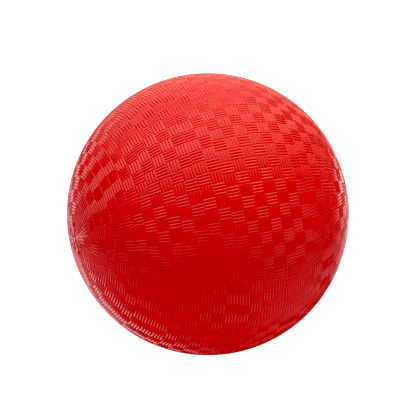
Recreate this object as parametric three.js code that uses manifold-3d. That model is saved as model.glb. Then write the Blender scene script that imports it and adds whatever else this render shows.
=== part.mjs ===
// An inflatable rubber playground ball, built up as the real one is: a bladder, a nylon winding
// over it and a rubber cover, with a needle valve whose plug pulls out of its housing.
// Units are millimetres, +Z is up, and the origin is the middle of the flat patch on the floor.

import * as THREE from 'three';
import { mergeVertices } from 'three/addons/utils/BufferGeometryUtils.js';
import Module from 'manifold-3d';

const wasm = await Module();
wasm.setup();

// Ball
const BALL_DIAMETER = 216;       // 8.5 inches, blown up
const PATCH_RADIUS = 11.4;       // the flat that the ball's weight presses onto the floor
const COVER_WALL = 1.5;
const WINDING_WALL = 0.4;
const BLADDER_WALL = 0.8;
const BOND_LINE = 0.3;           // latex between one layer and the next

// Valve plug
const HEAD_RADIUS = 4.0;
const HEAD_THICKNESS = 1.4;      // at the rim
const HEAD_CROWN = 0.5;          // how far the head domes above its rim
const SHANK_RADIUS = 2.3;
const SHANK_LENGTH = 15;         // from under the head to the tip
const TIP_LENGTH = 3;
const RIB_RADIUS = 3.1;          // sealing ribs round the shank
const RIB_WIDTH = 1.6;
const RIB_PITCH = 3.2;
const RIB_COUNT = 3;
const NEEDLE_RADIUS = 0.9;       // passage for the inflating needle
const NEEDLE_DEPTH = 11;
const MOUTH_RADIUS = 1.6;        // cone that leads the needle in
const MOUTH_DEPTH = 1.2;

// Valve housing
const PLUG_CLEARANCE = 0.3;      // plug to housing, all round
const NECK_WALL = 2.2;
const NECK_SINK = 0.6;           // how far the neck's face lies below the ball's surface
const BOSS_WALL = 1.9;
const BOSS_FLOOR = 1.5;          // closes the boss under the plug's tip
const OUTLET_RADIUS = 1.2;       // lets the air through that floor
const FLANGE_RADIUS = 15;
const FLANGE_WALL = 1.6;         // at the boss
const FLANGE_EDGE = 0.6;         // at the rim

// Facets
const SKIN_FACETS = 64;          // round the outside of the cover
const LAYER_FACETS = 36;         // round the layers under it
const VALVE_FACETS = 24;
const FLANGE_STEPS = 4;

// Worked out from the sizes above
const ballRadius = BALL_DIAMETER / 2;
const patchAngle = Math.asin(PATCH_RADIUS / ballRadius);
const centreHeight = ballRadius * Math.cos(patchAngle);
const coverInside = ballRadius - COVER_WALL;
const windingOutside = coverInside - BOND_LINE;
const windingInside = windingOutside - WINDING_WALL;
const bladderOutside = windingInside - BOND_LINE;
const bladderInside = bladderOutside - BLADDER_WALL;
const flangeSeat = bladderInside - BOND_LINE;

const headUnderside = ballRadius - HEAD_CROWN - HEAD_THICKNESS;
const plugTip = headUnderside - SHANK_LENGTH;
const headPocketRadius = HEAD_RADIUS + PLUG_CLEARANCE;
const boreRadius = RIB_RADIUS + PLUG_CLEARANCE;
const boreFloor = plugTip - PLUG_CLEARANCE;
const neckRadius = headPocketRadius + NECK_WALL;
const neckFace = ballRadius - NECK_SINK;
const bossRadius = boreRadius + BOSS_WALL;
const bossEnd = boreFloor - BOSS_FLOOR;
const valveHoleRadius = neckRadius + BOND_LINE;

// Solids: closed meshes that can be joined and cut

function toSolid(geometry) {
  const bare = geometry.clone();
  bare.deleteAttribute('normal');
  bare.deleteAttribute('uv');
  const merged = mergeVertices(bare);
  const corners = merged.index.array;
  const triangles = [];
  for (let i = 0; i < corners.length; i += 3) {
    const [a, b, c] = corners.slice(i, i + 3);
    const isFlat = a === b || b === c || c === a;
    if (!isFlat) triangles.push(a, b, c);
  }
  return new wasm.Manifold(new wasm.Mesh({
    numProp: 3,
    vertProperties: new Float32Array(merged.attributes.position.array),
    triVerts: new Uint32Array(triangles),
  }));
}

function toMesh(name, solid, material) {
  const { vertProperties, triVerts } = solid.getMesh();
  const geometry = new THREE.BufferGeometry();
  geometry.setAttribute('position', new THREE.BufferAttribute(vertProperties, 3));
  geometry.setIndex(new THREE.BufferAttribute(triVerts, 1));
  geometry.computeVertexNormals();
  const mesh = new THREE.Mesh(geometry, material);
  mesh.name = name;
  return mesh;
}

const point = (radius, height) => new THREE.Vector2(radius, height);

// A ball of any radius about the ball's centre, with the floor patch pressed into it
function pressedBall(radius, facets) {
  const steps = facets / 4;
  const profile = [point(0, -radius * Math.cos(patchAngle))];
  const addArc = (from, to, first) => {
    for (let i = first; i <= steps; i++) {
      const angle = THREE.MathUtils.lerp(from, to, i / steps);
      profile.push(point(radius * Math.sin(angle), -radius * Math.cos(angle)));
    }
  };
  addArc(patchAngle, Math.PI / 2, 0);
  addArc(Math.PI / 2, Math.PI, 1);
  profile[profile.length - 1].x = 0;
  return toSolid(new THREE.LatheGeometry(profile, facets).rotateX(Math.PI / 2));
}

// A solid turned about the valve's axis, +X, with heights measured from the ball's centre
function turnedOnValve(profile) {
  return toSolid(new THREE.LatheGeometry(profile, VALVE_FACETS).rotateZ(-Math.PI / 2));
}

function rod(radius, from, to) {
  return turnedOnValve([point(0, from), point(radius, from), point(radius, to), point(0, to)]);
}

// The layers of the wall

const valveHole = rod(valveHoleRadius, bladderInside / 2, BALL_DIAMETER);

function layer(outside, outsideFacets, inside) {
  const ball = pressedBall(outside, outsideFacets);
  const hollow = pressedBall(inside, LAYER_FACETS);
  return ball.subtract(hollow).subtract(valveHole);
}

const coverSolid = layer(ballRadius, SKIN_FACETS, coverInside);
const windingSolid = layer(windingOutside, LAYER_FACETS, windingInside);
const bladderSolid = layer(bladderOutside, LAYER_FACETS, bladderInside);

// Valve housing: a boss with a feather-edged flange that lies against the inside of the bladder

function flange() {
  const underside = [];
  for (let i = 0; i <= FLANGE_STEPS; i++) {
    const share = i / FLANGE_STEPS;
    const radius = THREE.MathUtils.lerp(bossRadius, FLANGE_RADIUS, share);
    const wall = THREE.MathUtils.lerp(FLANGE_WALL, FLANGE_EDGE, share);
    underside.push(point(radius, Math.sqrt(flangeSeat ** 2 - radius ** 2) - wall));
  }
  const middle = point(0, underside[0].y);
  const blank = turnedOnValve([middle, ...underside, point(FLANGE_RADIUS, ballRadius), point(0, ballRadius)]);
  return blank.intersect(pressedBall(flangeSeat, LAYER_FACETS));
}

function housing() {
  const bossRound = BOSS_FLOOR / 2;
  const boss = turnedOnValve([
    point(0, bossEnd),
    point(bossRadius - bossRound, bossEnd),
    point(bossRadius, bossEnd + bossRound),
    point(bossRadius, flangeSeat - FLANGE_WALL),
    point(neckRadius, flangeSeat),
    point(neckRadius, neckFace),
    point(0, neckFace),
  ]);
  const bore = turnedOnValve([
    point(0, bossEnd - BOSS_FLOOR),
    point(OUTLET_RADIUS, bossEnd - BOSS_FLOOR),
    point(OUTLET_RADIUS, boreFloor),
    point(boreRadius, boreFloor + TIP_LENGTH),
    point(boreRadius, headUnderside - PLUG_CLEARANCE),
    point(headPocketRadius, headUnderside - PLUG_CLEARANCE),
    point(headPocketRadius, BALL_DIAMETER),
    point(0, BALL_DIAMETER),
  ]);
  return boss.add(flange()).subtract(bore);
}

// Valve plug: domed head, ribbed shank and a blind passage that the needle pierces at its end

function plug() {
  const ribs = [];
  for (let i = 0; i < RIB_COUNT; i++) {
    const base = plugTip + TIP_LENGTH + (RIB_PITCH - RIB_WIDTH) + i * RIB_PITCH;
    ribs.push(point(SHANK_RADIUS, base));
    ribs.push(point(RIB_RADIUS, base + RIB_WIDTH / 3));
    ribs.push(point(RIB_RADIUS, base + RIB_WIDTH * 2 / 3));
    ribs.push(point(SHANK_RADIUS, base + RIB_WIDTH));
  }
  const headRim = ballRadius - HEAD_CROWN;
  const needleEnd = ballRadius - NEEDLE_DEPTH;
  return turnedOnValve([
    point(0, plugTip),
    point(SHANK_RADIUS / 2, plugTip),
    point(SHANK_RADIUS, plugTip + TIP_LENGTH),
    ...ribs,
    point(SHANK_RADIUS, headUnderside),
    point(HEAD_RADIUS, headUnderside),
    point(HEAD_RADIUS, headRim),
    point((HEAD_RADIUS + MOUTH_RADIUS) / 2, ballRadius - HEAD_CROWN / 4),
    point(MOUTH_RADIUS, ballRadius),
    point(NEEDLE_RADIUS, ballRadius - MOUTH_DEPTH),
    point(NEEDLE_RADIUS, needleEnd + NEEDLE_RADIUS),
    point(0, needleEnd),
  ]);
}

// Materials and assembly

const rubber = (color, roughness) => new THREE.MeshStandardMaterial({ color, roughness, metalness: 0 });

const pieces = [
  toMesh('cover', coverSolid, rubber(0xcc0a12, 0.4)),
  toMesh('nylon_winding', windingSolid, rubber(0xd8d2c2, 0.8)),
  toMesh('bladder', bladderSolid, rubber(0x1c1c1e, 0.6)),
  toMesh('valve_housing', housing(), rubber(0x242427, 0.6)),
  toMesh('valve_plug', plug(), rubber(0x2e2e31, 0.5)),
];

const ball = new THREE.Group();
ball.position.z = centreHeight;
ball.add(...pieces);

const assembly = new THREE.Group();
assembly.add(ball);

export default assembly;
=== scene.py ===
# %% [markdown]
# # A rubber playground ball
# The ball is 216 mm across when it is blown up. A butyl bladder holds the air, nylon thread is wound over
# it, and a red rubber cover is moulded and cured round both. The mould presses a basket weave into the
# cover: square tiles of four ridges, every second tile turned by a quarter. This lesson loads the packed
# model of the ball, builds the woven cover, the layers under it and the valve, and gives each its finish.

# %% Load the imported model
import math

import bmesh
import bpy
import numpy as np
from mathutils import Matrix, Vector


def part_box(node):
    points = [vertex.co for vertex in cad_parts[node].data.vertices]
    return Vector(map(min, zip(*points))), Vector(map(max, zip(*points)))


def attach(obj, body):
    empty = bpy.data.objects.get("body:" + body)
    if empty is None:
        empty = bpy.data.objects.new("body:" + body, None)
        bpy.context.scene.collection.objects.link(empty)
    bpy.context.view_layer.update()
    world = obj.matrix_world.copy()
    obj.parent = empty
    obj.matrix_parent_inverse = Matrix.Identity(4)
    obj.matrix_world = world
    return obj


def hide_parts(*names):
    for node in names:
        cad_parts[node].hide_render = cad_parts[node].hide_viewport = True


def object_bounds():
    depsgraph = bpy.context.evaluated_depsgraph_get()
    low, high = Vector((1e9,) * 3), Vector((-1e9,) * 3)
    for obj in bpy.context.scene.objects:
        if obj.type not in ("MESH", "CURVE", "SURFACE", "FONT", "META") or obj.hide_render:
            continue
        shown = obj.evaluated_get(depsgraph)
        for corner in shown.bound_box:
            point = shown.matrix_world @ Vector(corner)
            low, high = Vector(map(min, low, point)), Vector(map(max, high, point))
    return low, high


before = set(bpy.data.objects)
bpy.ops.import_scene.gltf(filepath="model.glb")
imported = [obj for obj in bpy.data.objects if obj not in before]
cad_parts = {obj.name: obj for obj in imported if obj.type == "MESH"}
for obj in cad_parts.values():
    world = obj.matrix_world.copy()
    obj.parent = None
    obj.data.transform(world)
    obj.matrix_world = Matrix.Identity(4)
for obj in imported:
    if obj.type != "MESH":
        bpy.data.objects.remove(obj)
cad_low, cad_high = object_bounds()

# %% [markdown]
# ## Sizes that the model gives
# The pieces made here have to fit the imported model, so their main sizes are measured on it and not typed
# in. The width across Y is the ball's diameter. The ball stands on a flat that its weight presses into
# it, so its centre lies a little lower than its radius.

# %% Ball sizes
MM = 0.001
ball_radius = (cad_high.y - cad_low.y) / 2
ball_centre = Vector((0, 0, cad_high.z - ball_radius))
print(f"radius {ball_radius / MM:.1f} mm, centre {ball_centre.z / MM:.1f} mm above the floor")

# %% [markdown]
# ## Two helpers for materials
# A colour is easy to pick as an sRGB hex value, but shaders count in linear light, so one function turns
# the one into the other. The other function adds a shader node with its settings and its links. Every
# material below is built with these two.

# %% Colours and nodes


def linear(hex_colour):
    """The linear RGBA of an sRGB colour such as #C80010."""
    shares = [int(hex_colour[i:i + 2], 16) / 255 for i in (1, 3, 5)]
    curved = [s / 12.92 if s <= 0.04045 else ((s + 0.055) / 1.055) ** 2.4 for s in shares]
    return (*curved, 1.0)


def add_node(tree, kind, values=None, links=None, **settings):
    """A new node, with its settings made, its sockets filled and its inputs linked."""
    node = tree.nodes.new(kind)
    for name, value in settings.items():
        setattr(node, name, value)
    for socket, value in (values or {}).items():
        node.inputs[socket].default_value = value
    for socket, source in (links or {}).items():
        tree.links.new(source, node.inputs[socket])
    return node


def empty_tree(owner):
    """The node tree of a new material or world, with nothing in it."""
    owner.use_nodes = True
    owner.node_tree.nodes.clear()
    return owner.node_tree


print("sRGB #808080 is", round(linear("#808080")[0], 3), "in linear light")

# %% [markdown]
# ## The camera
# The rings of the weave keep their width right up to the edge of the ball, so the photograph was taken
# from far off. A long lens does that. The pole that the rings run round shows where the camera stood: to
# the left of the front and well above the floor. A small shift puts the ball where it is in the picture.

# %% Camera
PICTURE = 420.0                        # pixels along each side of the photograph
BALL_PIXEL = (207.85, 214.19)          # the ball's centre in it
BALL_PIXEL_RADIUS = 141.15
CAMERA_AZIMUTH = math.radians(-20.0)
CAMERA_ELEVATION = math.radians(30.8)
CAMERA_DISTANCE = 4.0                  # metres
VIEW_LIMIT = 100.0                     # metres, well past the floor's far edge
SENSOR = 36.0                          # millimetres wide

away = Vector((-math.sin(CAMERA_AZIMUTH), math.cos(CAMERA_AZIMUTH), 0))
up = Vector((0, 0, 1))
left = up.cross(away)
to_camera = up * math.sin(CAMERA_ELEVATION) - away * math.cos(CAMERA_ELEVATION)
seen_slope = math.tan(math.asin(ball_radius / CAMERA_DISTANCE))

camera = bpy.data.objects.new("camera", bpy.data.cameras.new("camera"))
camera.data.sensor_width = SENSOR
camera.data.lens = BALL_PIXEL_RADIUS / PICTURE * SENSOR / seen_slope
camera.data.shift_x = (PICTURE / 2 - BALL_PIXEL[0]) / PICTURE
camera.data.shift_y = (BALL_PIXEL[1] - PICTURE / 2) / PICTURE
camera.data.clip_end = VIEW_LIMIT
camera.location = ball_centre + to_camera * CAMERA_DISTANCE
camera.rotation_mode = "QUATERNION"
camera.rotation_quaternion = (-to_camera).to_track_quat("-Z", "Y")
bpy.context.collection.objects.link(camera)
bpy.context.scene.camera = camera
print(f"lens {camera.data.lens:.0f} mm at {CAMERA_DISTANCE:.1f} m")

# %% [markdown]
# ## The picture's tones
# Blender's usual view transform bends strong colours towards white, as film does. This ball is a strong red
# that has to stay red, so the plain Standard transform is used. The deepest tones in the photograph have no
# green or blue in them at all, and a very small black level takes off the last trace that a render has. The
# picture is small, so a pixel filter that is a little narrower than usual keeps its fine lines crisp.

# %% Picture tones
BLACK_LEVEL = 0.003                    # in linear light
PIXEL_FILTER = 1.25                    # pixels, where Blender starts from 1.5

picture = bpy.context.scene.view_settings
picture.view_transform = "Standard"
picture.use_curve_mapping = True
picture.curve_mapping.black_level = [BLACK_LEVEL] * 3
picture.curve_mapping.update()
bpy.context.scene.cycles.filter_width = PIXEL_FILTER
print(f"black level {BLACK_LEVEL}, pixel filter {PIXEL_FILTER}")

# %% [markdown]
# ## The floor
# Pictures on pure white are often taken on a light table: a sheet of opal acrylic that is lit from below,
# so brightly that an object's shadow on it doesn't show. One large flat face is enough for it. It is kept
# out of mirror reflections, because the underside of the ball in the photograph mirrors nothing bright.

# %% Floor
FLOOR_SIZE = 40.0                      # metres
FLOOR_GLOW = 1.0                       # full white without any other light
FLOOR_FLECK = 8 * MM


def lit_opal_acrylic():
    """Opal acrylic, cast and sanded: matt and milky, with a faint cloudiness, glowing white from below."""
    material = bpy.data.materials.new("lit_opal_acrylic")
    tree = empty_tree(material)
    place = add_node(tree, "ShaderNodeTexCoord")
    haze = add_node(tree, "ShaderNodeTexNoise", {"Scale": 1 / FLOOR_FLECK},
                    {"Vector": place.outputs["Object"]})
    tone = add_node(tree, "ShaderNodeMix", {"A": linear("#7E7E7D"), "B": linear("#828282")},
                    {"Factor": haze.outputs["Fac"]}, data_type="RGBA")
    acrylic = add_node(tree, "ShaderNodeBsdfPrincipled",
                       {"Roughness": 0.9, "Specular IOR Level": 0.1, "Emission Color": (1, 1, 1, 1),
                        "Emission Strength": FLOOR_GLOW}, {"Base Color": tone.outputs["Result"]})
    add_node(tree, "ShaderNodeOutputMaterial", links={"Surface": acrylic.outputs["BSDF"]})
    return material


half = FLOOR_SIZE / 2
floor_mesh = bpy.data.meshes.new("floor")
floor_corners = [(-half, -half, 0), (half, -half, 0), (half, half, 0), (-half, half, 0)]
floor_mesh.from_pydata(floor_corners, [], [(0, 1, 2, 3)])
floor_mesh.materials.append(lit_opal_acrylic())
floor = bpy.data.objects.new("floor", floor_mesh)
floor.visible_glossy = False
bpy.context.collection.objects.link(floor)
print(f"floor {FLOOR_SIZE:.0f} m wide")

# %% [markdown]
# ## The light
# In the photograph each ridge shows in the upper half of the ball, and hardly any in the lower half. So a
# small softbox overhead rakes across the upper half, and a wide one in the camera's direction lights the
# grooves of the lower half as much as its ridges. A white room, brighter behind the ball than in front of
# it, lifts the ball's edge. What the glossy rubber mirrors is another matter, because each ridge draws a
# line of it: a dark room in front, a warm ceiling above and behind, and pale patches low at both sides.
# Lamps could be hung for all of these, but they would light the ball as well. So the softboxes aren't
# mirrored, and the room gives two answers: an even grade for the light that falls on things, and a list of
# soft glows for what is mirrored in them.

# %% Softboxes
SOFTBOXES = [
    # name, place as seen from the ball, width and height in metres, and watts
    ("overhead_softbox", 2.3 * up + 0.2 * away - 0.15 * left, (0.5, 0.4), 46.0),
    ("front_softbox", 2.6 * to_camera, (6.0, 1.5), 37.0),
]

for name, place, size, watts in SOFTBOXES:
    lamp = bpy.data.lights.new(name, "AREA")
    lamp.shape = "RECTANGLE"
    lamp.size, lamp.size_y = size
    lamp.energy = watts
    softbox = bpy.data.objects.new(name, lamp)
    softbox.location = ball_centre + place
    softbox.rotation_mode = "QUATERNION"
    softbox.rotation_quaternion = (-place).to_track_quat("-Z", "Y")
    softbox.visible_camera = False
    softbox.visible_glossy = False
    bpy.context.collection.objects.link(softbox)
    print(f"{name} {place.length:.1f} m from the ball")

# %% Room and glows
GLOWS = [
    # direction, colour, brightness, and the cosines at which it starts and is full
    (away + 0.3 * up, "#FFF0DC", 1.15, (0.66, 0.97)),                         # the sweep behind the ball
    (0.5 * away + 0.82 * up - 0.2 * left, "#FFEBD2", 1.3, (0.93, 0.99)),      # a strip high over its back
    (0.17 * away + 0.87 * up + 0.47 * left, "#FFF0E0", 1.75, (0.72, 0.97)),   # the ceiling's left half
    (0.17 * away + 0.88 * up - 0.36 * left, "#FFF0CC", 1.4, (0.72, 0.97)),    # and its right half
    (0.58 * away + 0.58 * left - 0.57 * up, "#FFF2F4", 1.4, (0.88, 0.975)),   # low behind on the left
    (0.74 * away - 0.5 * left - 0.44 * up, "#FFF2F4", 1.95, (0.96, 0.99)),    # low behind on the right
    (-0.05 * away - 0.68 * left - 0.73 * up, "#FFF2F4", 0.5, (0.88, 0.98)),   # low on the right
]

world = bpy.data.worlds.new("white_room")
world.cycles.sampling_method = "NONE"
room = empty_tree(world)
direction = add_node(room, "ShaderNodeTexCoord")
mirrored = None
for axis, colour, brightness, (start, full) in GLOWS:
    towards = add_node(room, "ShaderNodeVectorMath", {1: axis.normalized()},
                       {0: direction.outputs["Generated"]}, operation="DOT_PRODUCT")
    share = add_node(room, "ShaderNodeMapRange",
                     {"From Min": start, "From Max": full, "To Max": brightness},
                     {"Value": towards.outputs["Value"]}, interpolation_type="SMOOTHSTEP")
    glow = add_node(room, "ShaderNodeVectorMath", {0: linear(colour)[:3]},
                    {"Scale": share.outputs["Result"]}, operation="SCALE")
    if mirrored:
        glow = add_node(room, "ShaderNodeVectorMath", links={0: mirrored, 1: glow.outputs["Vector"]},
                        operation="ADD")
    mirrored = glow.outputs["Vector"]
print(f"{len(GLOWS)} glows to mirror")

# %% Light that falls, and the room's output
ROOM_FRONT = 0.2                       # from the camera's side
ROOM_BACK = 1.7                        # from the white sweep behind the ball

facing = add_node(room, "ShaderNodeVectorMath", {1: away}, {0: direction.outputs["Generated"]},
                  operation="DOT_PRODUCT")
fill = add_node(room, "ShaderNodeMapRange", {"From Min": -1.0, "To Min": ROOM_FRONT, "To Max": ROOM_BACK},
                {"Value": facing.outputs["Value"]})
ray = add_node(room, "ShaderNodeLightPath")
falling = add_node(room, "ShaderNodeMix", {"B": (1, 1, 1, 1)},
                   {"Factor": ray.outputs["Is Camera Ray"], "A": fill.outputs["Result"]}, data_type="RGBA")
either = add_node(room, "ShaderNodeMix", data_type="RGBA",
                  links={"Factor": ray.outputs["Is Glossy Ray"],
                         "A": falling.outputs["Result"], "B": mirrored})
background = add_node(room, "ShaderNodeBackground", links={"Color": either.outputs["Result"]})
add_node(room, "ShaderNodeOutputWorld", links={"Surface": background.outputs["Background"]})
bpy.context.scene.world = world
print(f"room light {ROOM_FRONT} in front to {ROOM_BACK} behind")

# %% [markdown]
# ## How the weave is laid out
# The tiles run in rings about the ball's side-to-side axis, like bands of latitude. A ring holds as many
# tiles as fit at about the same width, always an even number, so that plain and turned tiles alternate
# all the way round. The chart gives one half of the mould, from its pole to the widest ring: the number
# of tiles, and how far, in tiles, the first one with ridges along the axis lies from a line that faces
# the camera. The other half of the mould carries the same chart, turned by some tiles. A picture of the
# weave could be wrapped round the ball, but it would be squeezed at the poles, where a mould drops tiles.

# %% Weave chart
RINGS = 35
CHART = [
    (4, 0.0), (10, 0.0), (16, 0.5), (22, 0.9), (26, -0.9), (32, -0.75),
    (38, 0.0), (44, 0.6), (48, 0.5), (52, -0.15), (58, 0.8), (58, -0.2),
    (64, -0.65), (64, 0.4), (68, 0.75), (68, -0.25), (70, -0.65), (70, 0.35),
]
FACING_LINE = math.radians(32.2)       # up from the front
OTHER_HALF_TURN = -18.0                # tiles of the widest ring

ring_pitch = math.pi / RINGS
widest_tile = 2 * math.pi / CHART[-1][0]
tile_side = widest_tile * ball_radius


def ring_layout(ring):
    """A ring's number of tiles, and the angle at which its first lengthwise tile starts."""
    in_first_half = ring < len(CHART)
    tiles, lead = CHART[ring if in_first_half else RINGS - 1 - ring]
    turn = 0.0 if in_first_half else OTHER_HALF_TURN * widest_tile
    return tiles, FACING_LINE + turn + (lead - 0.5) * 2 * math.pi / tiles


print(f"{RINGS} rings, tiles {tile_side / MM:.2f} mm wide on the widest one")

# %% [markdown]
# ## One tile
# Four ridges fill a tile side by side. Each is round on top and steep at its flanks, with a sharp groove
# between it and the next, and it drops off at its two ends. A bump texture could draw the ridges, but real
# ones catch the light along their flanks, hide each other near the edge of the ball and show in its
# outline, so they are geometry. A tile is a small grid: many points across the ridges, where they curve,
# and few along them.

# %% Ridge shape
RIDGES = 4
RIDGE_HEIGHT = 0.62 * MM
RIDGE_FULLNESS = 2.1                                             # 2 is a parabola, more is flatter on top
RIDGE_STOPS = np.array([0.0, 0.13, 0.5, 0.87])                   # shares of a ridge's width
END_STOPS = np.array([0.0, 0.02, 0.06, 0.5, 0.94, 0.98, 1.0])    # shares of a ridge's length
END_DROP = 0.03                                                  # the share over which an end drops

ridge_width = tile_side / RIDGES


def across(share):
    """Height across the ridges of a tile, from 0 in the grooves to 1 on the crests."""
    from_crest = np.abs(2 * (share * RIDGES % 1) - 1)
    return 1 - from_crest ** RIDGE_FULLNESS


def along(share):
    """Height along a ridge, which rounds off at both ends."""
    from_end = np.clip(np.minimum(share, 1 - share) / END_DROP, 0, 1)
    return np.sqrt(1 - (1 - from_end) ** 2)


ridge_starts = np.arange(RIDGES)[:, None]
ridge_places = np.append((ridge_starts + RIDGE_STOPS) / RIDGES, 1.0)
tile_height = along(END_STOPS)[:, None] * across(ridge_places)
flank = math.degrees(math.atan(2 * RIDGE_HEIGHT * RIDGE_FULLNESS / ridge_width))
print(f"ridges {ridge_width / MM:.2f} mm apart, flanks up to {flank:.0f} degrees")
print(f"{tile_height.size} points a tile")

# %% [markdown]
# ## A mesh out of many grids
# The cover is one closed mesh. Its tiles are separate grids whose edges don't meet point to point, because
# a turned tile has its many points the other way, and because rings hold different numbers of tiles. A
# strip of triangles along the groove zips each pair of edges together, like the teeth of a zip with
# unequal spacing. Points are given by two angles: theta from the pole, and phi up from the front.

# %% Mesh builder


def zip_pattern(first, second):
    """Triangles between two rows of points at rising places, numbered through the one and then the other."""
    faces = []
    i = j = 0
    while i < len(first) - 1 or j < len(second) - 1:
        step_first = j == len(second) - 1 or (i < len(first) - 1 and first[i + 1] <= second[j + 1])
        a, b = i, len(first) + j
        faces.append((a, b, a + 1) if step_first else (a, b, b + 1))
        i, j = (i + 1, j) if step_first else (i, j + 1)
    return np.array(faces)


class Shell:
    """The points and faces of one layer of the ball, gathered grid by grid."""

    def __init__(self):
        self.places, self.values, self.faces = [], [], []
        self.count = 0

    def add_points(self, theta, phi, radius, value):
        """New points, each with a value for the finish, numbered in the shape of what is given."""
        given = np.broadcast_arrays(theta, phi, radius, value)
        self.places.append(np.stack(given[:3], axis=-1).reshape(-1, 3))
        self.values.append(given[3].ravel())
        first = self.count
        self.count += given[0].size
        return np.arange(first, self.count).reshape(given[0].shape)

    def add_faces(self, *corners):
        """Faces from the numbers of their corners, one array for each corner."""
        faces = np.stack(np.broadcast_arrays(*corners), axis=-1)
        self.faces.append(faces.reshape(-1, len(corners)))

    def add_grid(self, numbers):
        """Faces between the rows and columns of a grid, or of a stack of grids."""
        near, far = numbers[..., :-1, :], numbers[..., 1:, :]
        self.add_faces(near[..., :-1], far[..., :-1], far[..., 1:], near[..., 1:])

    def add_zip(self, first, second, pattern):
        """Triangles between two rows of points, or two stacks of rows."""
        both = np.concatenate([first, second], axis=-1)
        self.faces.append(both[..., pattern].reshape(-1, 3))


def closed(row, step=0):
    """A row of values round the ball with its first one, a step further, repeated at the end."""
    return np.concatenate([row, row[..., :1] + step], axis=-1)


skin = Shell()
print("a row of 3 points zips to a row of 2 with", len(zip_pattern([0, 1, 2], [0, 2])), "triangles")

# %% Tiles of one ring
GROOVE = 0.12 * MM                     # flat between two tiles
PLAIN_CAP = 2.5 * MM                   # plain button at the pole

groove_radius = ball_radius - RIDGE_HEIGHT
half_gap = GROOVE / 2 / ball_radius
long_to_turned = zip_pattern(END_STOPS, ridge_places)
turned_to_long = zip_pattern(ridge_places, END_STOPS)


def add_tiles(theta_from, theta_to, phi_from, width, turned):
    """All lengthwise or all turned tiles of one ring. Returns the numbers and angles of their points."""
    heights = tile_height.T if turned else tile_height
    rows, columns = (ridge_places, END_STOPS) if turned else (END_STOPS, ridge_places)
    theta = theta_from + (theta_to - theta_from) * rows[:, None]
    phi = phi_from[:, None, None] + width * columns
    numbers = skin.add_points(theta, phi, groove_radius + RIDGE_HEIGHT * heights, heights)
    skin.add_grid(numbers)
    return numbers, np.broadcast_to(phi, numbers.shape)


def add_ring(ring):
    """One ring of tiles. Returns the circles of points at its two edges, and the angles of these points."""
    tiles, start = ring_layout(ring)
    tile = 2 * math.pi / tiles
    theta_from = max(ring * ring_pitch, PLAIN_CAP / ball_radius) + half_gap
    theta_to = (ring + 1) * ring_pitch - half_gap
    gap = half_gap / math.sin((theta_from + theta_to) / 2)
    phi = start + gap + 2 * tile * np.arange(tiles // 2)
    lengthwise, long_phi = add_tiles(theta_from, theta_to, phi, tile - 2 * gap, turned=False)
    turned, turned_phi = add_tiles(theta_from, theta_to, phi + tile, tile - 2 * gap, turned=True)
    skin.add_zip(turned[..., 0], lengthwise[..., -1], turned_to_long)
    skin.add_zip(np.roll(lengthwise[..., 0], -1, axis=0), turned[..., -1], long_to_turned)
    edges = [np.hstack([lengthwise[:, row], turned[:, row]]).ravel() for row in (0, -1)]
    return *edges, np.hstack([long_phi[:, 0], turned_phi[:, 0]]).ravel()


print(f"{len(turned_to_long)} triangles along a groove between two tiles")

# %% Rings zipped together


def zip_circles(first, first_phi, second, second_phi):
    """Zips two circles of points that go round the ball."""
    rows, places = [], []
    for numbers, phi in ((first, first_phi), (second, second_phi)):
        phi = phi % (2 * math.pi)
        order = np.argsort(phi)
        rows.append(closed(numbers[order]))
        places.append(closed(phi[order], 2 * math.pi))
    skin.add_zip(*rows, zip_pattern(*places))


pole_circle, last_circle, last_phi = add_ring(0)
pole_phi = last_phi
for ring in range(1, RINGS - 1):
    lower, upper, phi = add_ring(ring)
    zip_circles(last_circle, last_phi, lower, phi)
    last_circle, last_phi = upper, phi
print(f"{skin.count} points on {RINGS - 1} rings")

# %% [markdown]
# ## The two poles and the inside
# A plain button closes the mould's pole. At the other pole, where the valve is, a plain pad takes the place
# of the last ring. There the skin turns in through the valve's hole and runs round the inside, so that the
# cover is a real shell with a wall, as it would be if it were cut open.

# %% Button at the pole
CAP_STOPS = np.array([0.6, 0.85, 0.97])     # shares of the button's radius

cap_height = np.sqrt(1 - ((CAP_STOPS - CAP_STOPS[0]) / (1 - CAP_STOPS[0])) ** 2)[:, None]
cap_theta = CAP_STOPS[:, None] * PLAIN_CAP / ball_radius
cap = skin.add_points(cap_theta, pole_phi, groove_radius + RIDGE_HEIGHT * cap_height, cap_height)
skin.add_grid(closed(np.vstack([cap, pole_circle])))
pole = skin.add_points(0.0, 0.0, ball_radius, 1.0)
skin.add_faces(pole, cap[0], np.roll(cap[0], -1))
print(f"button {2 * PLAIN_CAP / MM:.0f} mm across")

# %% Valve pad, valve hole and inside
VALVE_HOLE = 6.8 * MM                  # radius
LIP_ROUND = 0.5 * MM
LIP_STOPS = np.array([0.0, 0.3, 1.0])  # shares of the lip's rounding
BOND_LINE = 0.3 * MM                   # latex between one layer and the next
PLAIN_COLUMNS = 96
INSIDE_ROWS = 48

winding_low, winding_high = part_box("nylon_winding")
winding_outside = (winding_high.y - winding_low.y) / 2
cover_inside = winding_outside + BOND_LINE
plain_phi = np.linspace(0, 2 * math.pi, PLAIN_COLUMNS, endpoint=False)
pad_radius = ring_pitch * ball_radius - GROOVE / 2
pad_reach = np.append(pad_radius - LIP_ROUND * LIP_STOPS, VALVE_HOLE + LIP_ROUND * LIP_STOPS[::-1])
lip_height = np.sqrt(1 - (1 - LIP_STOPS) ** 2)
pad_height = np.append(lip_height, lip_height[::-1])[:, None]
pad_theta = math.pi - pad_reach[:, None] / ball_radius
pad = skin.add_points(pad_theta, plain_phi, groove_radius + RIDGE_HEIGHT * pad_height, pad_height)
zip_circles(last_circle, last_phi, pad[0], plain_phi)

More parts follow.
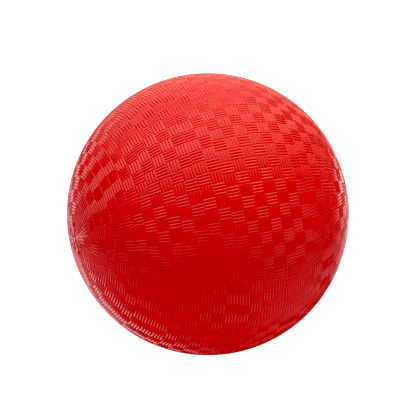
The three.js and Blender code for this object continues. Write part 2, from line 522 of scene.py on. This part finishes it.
inside_theta = np.linspace(pad_theta[-1, 0], 0, INSIDE_ROWS, endpoint=False)[:, None]
inside = skin.add_points(inside_theta, plain_phi, cover_inside, 0.0)
skin.add_grid(closed(np.vstack([pad, inside])))
inner_pole = skin.add_points(0.0, 0.0, cover_inside, 0.0)
skin.add_faces(inside[-1], inner_pole, np.roll(inside[-1], -1))
print(f"valve hole {2 * VALVE_HOLE / MM:.1f} mm across, wall {(ball_radius - cover_inside) / MM:.1f} mm")

# %% [markdown]
# ## From points to pieces
# The weight of the ball flattens it where it stands. Points that would lie too low are lifted, those of the
# outside onto the floor and those of the inside by as much, so that a wall keeps its thickness. Smooth
# shading rounds the ridges, and edges with a sharp bend, which are the grooves, stay crisp. The mesh also
# carries each point's value for the finish, and a map that unrolls the ball into a rectangle. The same
# function serves the cover and the two layers under it.

# %% Shell meshes
CRISP_BEND = math.radians(50)
INSIDE_MAP = (0.0, 0.28)               # the part of the map's height that the inside takes
OUTSIDE_MAP = (0.3, 1.0)
MAP_WIDTH = 0.95                       # the rest is for faces that cross the map's edge


def outward(theta, phi):
    """The direction from the ball's centre to a place on the ball."""
    directions = [-np.cos(theta), -np.sin(theta) * np.cos(phi), np.sin(theta) * np.sin(phi)]
    return np.stack(np.broadcast_arrays(*directions), axis=-1)


def unrolled(places, faces, middle):
    """Where the corners of faces lie on a map of phi by theta, with the inside below the outside."""
    theta, phi, radius = places.T
    lows, highs = (np.where(radius < middle, a, b) for a, b in zip(INSIDE_MAP, OUTSIDE_MAP))
    spots = np.stack([phi / (2 * math.pi) % 1, lows + (highs - lows) * theta / math.pi], axis=-1)[faces]
    crosses_edge = np.ptp(spots[..., 0], axis=1, keepdims=True) > 0.5
    spots[..., 0] += crosses_edge & (spots[..., 0] < 0.5)
    return spots.reshape(-1, 2) * [MAP_WIDTH, 1.0]


def shell_mesh(name, shell, middle, value_name):
    """The mesh of a shell, whose inside is what lies nearer to the ball's centre than middle."""
    places = np.vstack(shell.places)
    theta, phi, radius = places.T
    points = np.array(ball_centre) + outward(theta, phi) * radius[:, None]
    points[:, 2] = np.maximum(points[:, 2], (ball_radius - radius) * ball_centre.z / ball_radius)
    mesh = bpy.data.meshes.new(name)
    mesh.from_pydata(points.tolist(), [], [face for faces in shell.faces for face in faces.tolist()])
    mesh.shade_smooth()
    mesh.set_sharp_from_angle(angle=CRISP_BEND)
    values = mesh.attributes.new(value_name, "FLOAT", "POINT")
    values.data.foreach_set("value", np.concatenate(shell.values))
    corners = np.vstack([unrolled(places, faces, middle) for faces in shell.faces])
    mesh.uv_layers.new(name="OFBake").data.foreach_set("uv", corners.ravel())
    return mesh


def link_piece(mesh, node, body):
    """Puts a mesh into the scene as a piece that stands for a node of the model and moves with a body."""
    piece = bpy.data.objects.new(mesh.name, mesh)
    bpy.context.collection.objects.link(piece)
    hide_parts(node)
    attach(piece, body)
    print(f"{piece.name}: {len(mesh.vertices)} points, {len(mesh.polygons)} faces")


print("the pole points along", outward(0.0, 0.0).round(3))

# %% [markdown]
# ## Moulded red rubber
# Natural rubber, coloured right through with a red pigment, is cured in a polished steel mould. It comes
# out glossy, so each ridge draws a thin bright line of what it mirrors. Rubber also lets a little light
# in, which spreads by a few millimetres before it comes out. Subsurface scattering does this. In a wall
# this thin, scattering alone would draw each ridge too strongly, so less than half of the red is given to
# it, and the rest is plain diffuse colour. The pigment clouds a little. The grooves are painted a shade
# lighter than most crests, as painted light against the shade that falls in them, and the mould's grain
# breaks up the gloss.

# %% Red rubber
RUBBER_CLOUD = 55 * MM
RUBBER_GRAIN = 1.6 * MM                # a mould's grain is near 0.2 mm, too fine to show, so it is coarser
RUBBER_GRAIN_DEPTH = 0.004 * MM
LIGHT_SPREAD = 3.0 * MM                # how far red light travels in the rubber


def vulcanised_red_rubber():
    """Vulcanised natural rubber from a polished mould: a deep, saturated red under a sharp, wet gloss."""
    material = bpy.data.materials.new("vulcanised_red_rubber")
    tree = empty_tree(material)
    place = add_node(tree, "ShaderNodeTexCoord").outputs["Object"]
    clouds = add_node(tree, "ShaderNodeTexNoise", {"Scale": 1 / RUBBER_CLOUD}, {"Vector": place})
    crest = add_node(tree, "ShaderNodeMix", {"A": linear("#B40002"), "B": linear("#BA0003")},
                     {"Factor": clouds.outputs["Fac"]}, data_type="RGBA")
    painted_groove_light_mask = add_node(tree, "ShaderNodeAttribute", attribute_name="ridge_height")
    # the grooves get a painted light: their red is a shade lighter than most crests, to make up for the
    # shade in them
    tone = add_node(tree, "ShaderNodeMix", {"A": linear("#BA0003")},
                    {"Factor": painted_groove_light_mask.outputs["Fac"], "B": crest.outputs["Result"]}, data_type="RGBA")
    grain = add_node(tree, "ShaderNodeTexNoise", {"Scale": 1 / RUBBER_GRAIN}, {"Vector": place})
    gloss = add_node(tree, "ShaderNodeMapRange", {"To Min": 0.1, "To Max": 0.14},
                     {"Value": grain.outputs["Fac"]})
    bump = add_node(tree, "ShaderNodeBump", {"Distance": RUBBER_GRAIN_DEPTH},
                    {"Height": grain.outputs["Fac"]})
    rubber = add_node(tree, "ShaderNodeBsdfPrincipled",
                      {"IOR": 1.5, "Subsurface Weight": 0.45, "Subsurface Radius": (1.0, 0.15, 0.12),
                       "Subsurface Scale": LIGHT_SPREAD},
                      {"Base Color": tone.outputs["Result"], "Roughness": gloss.outputs["Result"],
                       "Normal": bump.outputs["Normal"]})
    add_node(tree, "ShaderNodeOutputMaterial", links={"Surface": rubber.outputs["BSDF"]})
    return material


cover_mesh = shell_mesh("woven_cover", skin, (groove_radius + cover_inside) / 2, "ridge_height")
cover_mesh.materials.append(vulcanised_red_rubber())
link_piece(cover_mesh, "cover", "ball")

# %% [markdown]
# ## The wound thread
# Under the cover, a machine winds some hundreds of metres of nylon thread round the bladder, so that it
# keeps its shape and size when it is blown up. Thread by thread it would be millions of faces. What the eye
# sees of it is bands of strands, each band laid askew over the one before, so the shell carries those: a
# place takes its height from the last band that covers it. The threads in a strand are left to the finish.

# %% Bands of strands
LAYER_ROWS = 132
LAYER_COLUMNS = 264
BANDS = 9
BAND_REACH = math.radians(24)          # to each side of the great circle that a band follows
GOLDEN_ANGLE = math.pi * (3 - math.sqrt(5))
STRAND = 10 * MM                       # several threads side by side
STRAND_RELIEF = 0.15 * MM
STRAND_EDGE = 0.3                      # height of a strand's edge, as a share of its crest's

layer_theta = np.linspace(0, math.pi - VALVE_HOLE / cover_inside, LAYER_ROWS + 1)[1:, None]
layer_phi = np.linspace(0, 2 * math.pi, LAYER_COLUMNS, endpoint=False)


def wound_strands():
    """How high the strands on top lie at each place of a layer, and how far across its band the place is."""
    directions = outward(layer_theta, layer_phi)
    heights = np.zeros(directions.shape[:2])
    across_band = np.zeros(directions.shape[:2])
    for band in range(BANDS):
        lean = (band + 0.5) / BANDS
        turn = band * GOLDEN_ANGLE
        side = math.sqrt(1 - lean ** 2)
        axis = np.array([lean, side * math.cos(turn), side * math.sin(turn)])
        off_middle = np.arcsin(directions @ axis)
        covers = np.abs(off_middle) < BAND_REACH
        crest = np.abs(np.sin(math.pi * off_middle * winding_outside / STRAND))
        heights = np.where(covers, STRAND_EDGE + (1 - STRAND_EDGE) * crest, heights)
        across_band = np.where(covers, off_middle * winding_outside, across_band)
    return heights, across_band


strand_height, across_threads = wound_strands()
print(f"{BANDS} bands leave {np.mean(strand_height == 0):.1%} of the bladder bare")

# %% Winding
WINDING_WALL = 0.4 * MM


def layer(outside, inside, value):
    """A shell with a hole for the valve, from the radii of its two sides and the values for its finish."""
    shell = Shell()
    outer = shell.add_points(layer_theta, layer_phi, outside, value)
    inner = shell.add_points(layer_theta, layer_phi, inside, 0.0)
    shell.add_grid(closed(np.vstack([outer, inner[::-1]])))
    outer_pole = shell.add_points(0.0, 0.0, np.mean(outside), 0.0)
    shell.add_faces(outer_pole, outer[0], np.roll(outer[0], -1))
    inner_pole = shell.add_points(0.0, 0.0, np.mean(inside), 0.0)
    shell.add_faces(inner[0], inner_pole, np.roll(inner[0], -1))
    return shell


winding_inside = winding_outside - WINDING_WALL
strand_tops = winding_outside - STRAND_RELIEF * (1 - strand_height)
winding = layer(strand_tops, np.full_like(strand_tops, winding_inside), across_threads)
winding_mesh = shell_mesh("wound_thread", winding, winding_outside - WINDING_WALL / 2, "across_threads")
link_piece(winding_mesh, "nylon_winding", "ball")

# %% [markdown]
# ## Nylon thread in latex
# Nylon thread is off-white with a silky shine along it. The bladder is dipped in latex as it is wound,
# which yellows the thread here and there and fills the gaps. A wave texture can't follow bands that lie in
# many directions, so the mesh carries how far across its band each point is, and a sine of that draws the
# threads, as light crests and darker gaps, both in the colour and as a bump.

# %% Nylon thread
THREAD = 1.2 * MM                      # real thread is 0.3 mm, drawn coarser so that it shows
LATEX_PATCH = 30 * MM
THREAD_DEPTH = 0.1 * MM


def latexed_nylon_thread():
    """Drawn nylon thread set in latex: off-white and silky, with darker gaps and yellowish patches."""
    material = bpy.data.materials.new("latexed_nylon_thread")
    tree = empty_tree(material)
    across_band = add_node(tree, "ShaderNodeAttribute", attribute_name="across_threads")
    turns = add_node(tree, "ShaderNodeMath", {1: 2 * math.pi / THREAD}, {0: across_band.outputs["Fac"]},
                     operation="MULTIPLY")
    wave = add_node(tree, "ShaderNodeMath", links={0: turns.outputs["Value"]}, operation="SINE")
    crest = add_node(tree, "ShaderNodeMapRange", {"From Min": -1.0}, {"Value": wave.outputs["Value"]})
    place = add_node(tree, "ShaderNodeTexCoord").outputs["Object"]
    patches = add_node(tree, "ShaderNodeTexNoise", {"Scale": 1 / LATEX_PATCH}, {"Vector": place})
    thread = add_node(tree, "ShaderNodeMix", {"A": linear("#E6E1D4"), "B": linear("#D9C9A0")},
                      {"Factor": patches.outputs["Fac"]}, data_type="RGBA")
    tone = add_node(tree, "ShaderNodeMix", {"A": linear("#A79A7C")},
                    {"Factor": crest.outputs["Result"], "B": thread.outputs["Result"]}, data_type="RGBA")
    gloss = add_node(tree, "ShaderNodeMapRange", {"To Min": 0.42, "To Max": 0.6},
                     {"Value": patches.outputs["Fac"]})
    bump = add_node(tree, "ShaderNodeBump", {"Distance": THREAD_DEPTH}, {"Height": crest.outputs["Result"]})
    nylon = add_node(tree, "ShaderNodeBsdfPrincipled", {"IOR": 1.53, "Sheen Weight": 0.2},
                     {"Base Color": tone.outputs["Result"], "Roughness": gloss.outputs["Result"],
                      "Normal": bump.outputs["Normal"]})
    add_node(tree, "ShaderNodeOutputMaterial", links={"Surface": nylon.outputs["BSDF"]})
    return material


winding_mesh.materials.append(latexed_nylon_thread())
print(f"{STRAND / THREAD:.0f} threads drawn in a strand")

# %% [markdown]
# ## The bladder
# The bladder holds the air. It is made of butyl rubber, which hardly lets air through, and cured as two
# halves that lap over each other where they are joined. The lap shows on the inside as a band where the
# wall is half as thick again. A second ring of mesh could be laid there, but the lap is cured into the wall,
# so the wall itself swells and thins out again.

# %% Bladder
BLADDER_WALL = 0.8 * MM
LAP_WIDTH = 14 * MM
LAP_WALL = 0.4 * MM
LAP_EDGE = 3 * MM                      # over which the lap thins out

bladder_low, bladder_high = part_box("bladder")
bladder_outside = (bladder_high.y - bladder_low.y) / 2
bladder_inside = bladder_outside - BLADDER_WALL
off_lap = np.abs(layer_theta - math.pi / 2) * bladder_inside
lap = np.clip((LAP_WIDTH / 2 - off_lap) / LAP_EDGE, 0, 1)
bladder = layer(np.full_like(lap, bladder_outside), bladder_inside - LAP_WALL * lap, 0.0)
bladder_mesh = shell_mesh("butyl_bladder", bladder, bladder_outside - BLADDER_WALL / 2, "lap")
link_piece(bladder_mesh, "bladder", "ball")

# %% [markdown]
# ## Butyl rubber
# Butyl rubber is black with carbon. Talc keeps the bladder from sticking to itself in its mould, and a
# bloom of it stays on, so the black is dull and greyish in clouds, with a fine dust on top. Two noises, one
# of clouds and one of dust, are multiplied, because dust only shows where the bloom is thick.

# %% Butyl rubber
TALC_CLOUD = 25 * MM
TALC_DUST = 1.5 * MM                   # talc is far finer, drawn coarser so that it shows
TALC_DEPTH = 0.01 * MM


def talced_butyl_rubber():
    """Cured butyl rubber dusted with talc: carbon black under a dull, cloudy grey bloom."""
    material = bpy.data.materials.new("talced_butyl_rubber")
    tree = empty_tree(material)
    place = add_node(tree, "ShaderNodeTexCoord").outputs["Object"]
    clouds = add_node(tree, "ShaderNodeTexNoise", {"Scale": 1 / TALC_CLOUD, "Detail": 4.0},
                      {"Vector": place})
    dust = add_node(tree, "ShaderNodeTexNoise", {"Scale": 1 / TALC_DUST}, {"Vector": place})
    bloom = add_node(tree, "ShaderNodeMath", links={0: clouds.outputs["Fac"], 1: dust.outputs["Fac"]},
                     operation="MULTIPLY")
    tone = add_node(tree, "ShaderNodeMix", {"A": linear("#19191B"), "B": linear("#5A5A5A")},
                    {"Factor": bloom.outputs["Value"]}, data_type="RGBA")
    dull = add_node(tree, "ShaderNodeMapRange", {"To Min": 0.45, "To Max": 0.85},
                    {"Value": bloom.outputs["Value"]})
    bump = add_node(tree, "ShaderNodeBump", {"Distance": TALC_DEPTH}, {"Height": dust.outputs["Fac"]})
    butyl = add_node(tree, "ShaderNodeBsdfPrincipled", {"IOR": 1.51},
                     {"Base Color": tone.outputs["Result"], "Roughness": dull.outputs["Result"],
                      "Normal": bump.outputs["Normal"]})
    add_node(tree, "ShaderNodeOutputMaterial", links={"Surface": butyl.outputs["BSDF"]})
    return material


bladder_mesh.materials.append(talced_butyl_rubber())
print(f"talc clouds {TALC_CLOUD / MM:.0f} mm wide")

# %% [markdown]
# ## Turned pieces for the valve
# The valve's two pieces are moulded and round about one axis. A profile of a few corners, each with its own
# rounding, is turned about that axis. Blender's Screw modifier could turn it, but a spin in mesh code
# closes the ends as well. A rounding is a curve that leaves one side of the corner and joins the other.

# %% Turning
TURN_STEPS = 72
CORNER_STEPS = 5
TURNED_BEND = math.radians(35)
WELD = 0.001 * MM                      # points this close are one


def rounded(corners):
    """The points of a profile of corners, each a place along the axis, a radius and a rounding."""
    points = []
    for before, corner, after in zip(corners[-1:] + corners[:-1], corners, corners[1:] + corners[:1]):
        spot = Vector(corner[:2])
        back = (Vector(before[:2]) - spot).normalized() * corner[2]
        ahead = (Vector(after[:2]) - spot).normalized() * corner[2]
        steps = np.linspace(0, 1, CORNER_STEPS) if corner[2] else [0.0]
        points += [spot + back * (1 - step) ** 2 + ahead * step ** 2 for step in steps]
    return points


def turned_mesh(name, corners):
    """The mesh of a profile turned about the valve's axis, closed through the axis or round a bore."""
    turning = bmesh.new()
    rim = [turning.verts.new(ball_centre + Vector((place, radius, 0))) for place, radius in rounded(corners)]
    has_bore = corners[0][1] > 0
    for first, second in zip(rim, rim[1:] + rim[:1] if has_bore else rim[1:]):
        turning.edges.new((first, second))
    bmesh.ops.spin(turning, geom=turning.verts[:] + turning.edges[:], cent=ball_centre, axis=(1, 0, 0),
                   angle=2 * math.pi, steps=TURN_STEPS, use_merge=True)
    bmesh.ops.remove_doubles(turning, verts=turning.verts[:], dist=WELD)
    bmesh.ops.recalc_face_normals(turning, faces=turning.faces[:])
    mesh = bpy.data.meshes.new(name)
    turning.to_mesh(mesh)
    turning.free()
    mesh.shade_smooth()
    mesh.set_sharp_from_angle(angle=TURNED_BEND)
    return mesh


print(f"a rounded corner has {len(rounded([(0, 0, 0), (1, 0, 0.1), (1, 1, 0)])) - 2} points")

# %% [markdown]
# ## The valve plug
# A plug of soft rubber closes the valve. The inflating needle goes in through the cone in its domed head,
# down a blind passage, and pierces the end, which closes behind it. Three ribs grip the housing, and the
# plug can be pulled out along the axis when it has worn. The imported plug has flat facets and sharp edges.
# This one is turned anew between the same tip and crown, smooth, with the soft edges of a moulding.

# %% Valve plug
SHANK_RADIUS = 2.3 * MM
HEAD_UNDERSIDE = 1.9 * MM              # below the crown
HEAD_RIM = 0.5 * MM                    # below the crown
TIP_RADIUS = 1.15 * MM
TIP_LENGTH = 3.0 * MM
RIB_RADIUS = 3.1 * MM
RIB_WIDTH = 1.6 * MM
RIB_PITCH = 3.2 * MM
RIB_COUNT = 3
MOUTH_RADIUS = 1.6 * MM
MOUTH_DEPTH = 1.2 * MM
NEEDLE_RADIUS = 0.9 * MM
NEEDLE_DEPTH = 11.0 * MM
SOFT_EDGE = 0.25 * MM                  # rounding of the plug's edges

plug_low, plug_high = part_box("valve_plug")
tip, crown = plug_low.x, plug_high.x
head_radius = (plug_high.y - plug_low.y) / 2


def plug_rib(number):
    """The corners of one sealing rib, which a bore would squeeze flat."""
    base = tip + TIP_LENGTH + RIB_PITCH - RIB_WIDTH + number * RIB_PITCH
    rises = [(0, SHANK_RADIUS), (1 / 3, RIB_RADIUS), (2 / 3, RIB_RADIUS), (1, SHANK_RADIUS)]
    return [(base + share * RIB_WIDTH, radius, SOFT_EDGE) for share, radius in rises]


plug_mesh = turned_mesh("needle_plug", [
    (tip, 0.0, 0.0),
    (tip, TIP_RADIUS, SOFT_EDGE),
    (tip + TIP_LENGTH, SHANK_RADIUS, SOFT_EDGE),
    *(corner for number in range(RIB_COUNT) for corner in plug_rib(number)),
    (crown - HEAD_UNDERSIDE, SHANK_RADIUS, SOFT_EDGE),
    (crown - HEAD_UNDERSIDE, head_radius, SOFT_EDGE),
    (crown - HEAD_RIM, head_radius, 2 * SOFT_EDGE),
    (crown - HEAD_RIM / 4, (head_radius + MOUTH_RADIUS) / 2, 2 * SOFT_EDGE),
    (crown, MOUTH_RADIUS, SOFT_EDGE),
    (crown - MOUTH_DEPTH, NEEDLE_RADIUS, SOFT_EDGE),
    (crown - NEEDLE_DEPTH + NEEDLE_RADIUS, NEEDLE_RADIUS, SOFT_EDGE),
    (crown - NEEDLE_DEPTH, 0.0, 0.0),
])
link_piece(plug_mesh, "valve_plug", "plug")

# %% [markdown]
# ## The valve housing
# The housing is moulded too: a boss that reaches into the ball, with a flange whose edge thins out. The
# flange is bonded to the inside of the bladder, and the neck comes out through all the layers. A pocket
# in the neck takes the plug's head, the bore below it takes the ribs, and a small outlet in the boss's
# floor lets the air through. The bore and the pocket clear the plug all round. Cutting them out of a solid
# boss would leave rough edges, so the profile goes once round the whole wall and is turned as one piece.

# %% Valve housing
PLUG_CLEARANCE = 0.3 * MM
NECK_WALL = 2.2 * MM
BOSS_WALL = 1.9 * MM
OUTLET_RADIUS = 1.2 * MM
FLANGE_WALL = 1.6 * MM                 # at the boss
FLANGE_EDGE = 0.6 * MM                 # at the rim
FLANGE_STEPS = 5
FIRM_EDGE = 0.3 * MM                   # rounding of the housing's edges

housing_low, housing_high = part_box("valve_housing")
flange_radius = (housing_high.y - housing_low.y) / 2
flange_seat = bladder_inside - BOND_LINE
bore_radius = RIB_RADIUS + PLUG_CLEARANCE
boss_radius = bore_radius + BOSS_WALL
pocket_radius = head_radius + PLUG_CLEARANCE
pocket_floor = crown - HEAD_UNDERSIDE - PLUG_CLEARANCE
bore_floor = tip - PLUG_CLEARANCE
neck_radius = pocket_radius + NECK_WALL


def on_seat(radius, wall=0.0):
    """How far along the axis the bladder's inside lies at a radius, less a wall."""
    return math.sqrt(flange_seat ** 2 - radius ** 2) - wall


flange_shares = np.linspace(0, 1, FLANGE_STEPS)[1:-1]
flange_under = [(on_seat(r, w), r, 0.0) for r, w in zip(
    boss_radius + (flange_radius - boss_radius) * flange_shares,
    FLANGE_WALL + (FLANGE_EDGE - FLANGE_WALL) * flange_shares)]
flange_top = [(on_seat(r), r, 0.0) for r in flange_radius + (neck_radius - flange_radius) * flange_shares]

housing_mesh = turned_mesh("valve_boss", [
    (housing_low.x, OUTLET_RADIUS, FIRM_EDGE),
    (housing_low.x, boss_radius, 2 * FIRM_EDGE),
    (on_seat(boss_radius, FLANGE_WALL), boss_radius, 4 * FIRM_EDGE),
    *flange_under,
    (on_seat(flange_radius, FLANGE_EDGE), flange_radius, FIRM_EDGE),
    (on_seat(flange_radius), flange_radius, FIRM_EDGE),
    *flange_top,
    (on_seat(neck_radius), neck_radius, 0.0),
    (housing_high.x, neck_radius, FIRM_EDGE),
    (housing_high.x, pocket_radius, FIRM_EDGE),
    (pocket_floor, pocket_radius, 0.0),
    (pocket_floor, bore_radius, FIRM_EDGE),
    (bore_floor + TIP_LENGTH, bore_radius, FIRM_EDGE),
    (bore_floor, OUTLET_RADIUS, FIRM_EDGE),
])
link_piece(housing_mesh, "valve_housing", "ball")

# %% [markdown]
# ## Black rubber of the valve
# Both pieces of the valve are black rubber from a blasted mould, so their surface is finely grained. The
# housing is firm and dull. The plug is softer, a little greyer, and shines more, because it is wetted
# with glycerine to let the needle slide. One function makes both, from a name, colours and gloss.

# %% Valve rubber
VALVE_GRAIN = 0.6 * MM                 # a blasted mould's grain is near 0.1 mm, too fine to show, so coarser
VALVE_GRAIN_DEPTH = 0.02 * MM
VALVE_SMEAR = 4 * MM


def blasted_black_rubber(name, dark, pale, shiniest, dullest):
    """Black rubber from a blasted mould: near black, with a fine grain and smears from handling."""
    material = bpy.data.materials.new(name)
    tree = empty_tree(material)
    place = add_node(tree, "ShaderNodeTexCoord").outputs["Object"]
    smear = add_node(tree, "ShaderNodeTexNoise", {"Scale": 1 / VALVE_SMEAR, "Detail": 3.0},
                     {"Vector": place})
    grain = add_node(tree, "ShaderNodeTexNoise", {"Scale": 1 / VALVE_GRAIN}, {"Vector": place})
    tone = add_node(tree, "ShaderNodeMix", {"A": linear(dark), "B": linear(pale)},
                    {"Factor": smear.outputs["Fac"]}, data_type="RGBA")
    gloss = add_node(tree, "ShaderNodeMapRange", {"To Min": shiniest, "To Max": dullest},
                     {"Value": smear.outputs["Fac"]})
    bump = add_node(tree, "ShaderNodeBump", {"Distance": VALVE_GRAIN_DEPTH},
                    {"Height": grain.outputs["Fac"]})
    rubber = add_node(tree, "ShaderNodeBsdfPrincipled", {"IOR": 1.52},
                      {"Base Color": tone.outputs["Result"], "Roughness": gloss.outputs["Result"],
                       "Normal": bump.outputs["Normal"]})
    add_node(tree, "ShaderNodeOutputMaterial", links={"Surface": rubber.outputs["BSDF"]})
    return material


housing_mesh.materials.append(blasted_black_rubber("firm_black_rubber", "#161617", "#2A2A2C", 0.45, 0.7))
plug_mesh.materials.append(blasted_black_rubber("soft_black_rubber", "#242427", "#39393C", 0.25, 0.5))
print(f"valve grain drawn {VALVE_GRAIN / MM:.1f} mm wide")
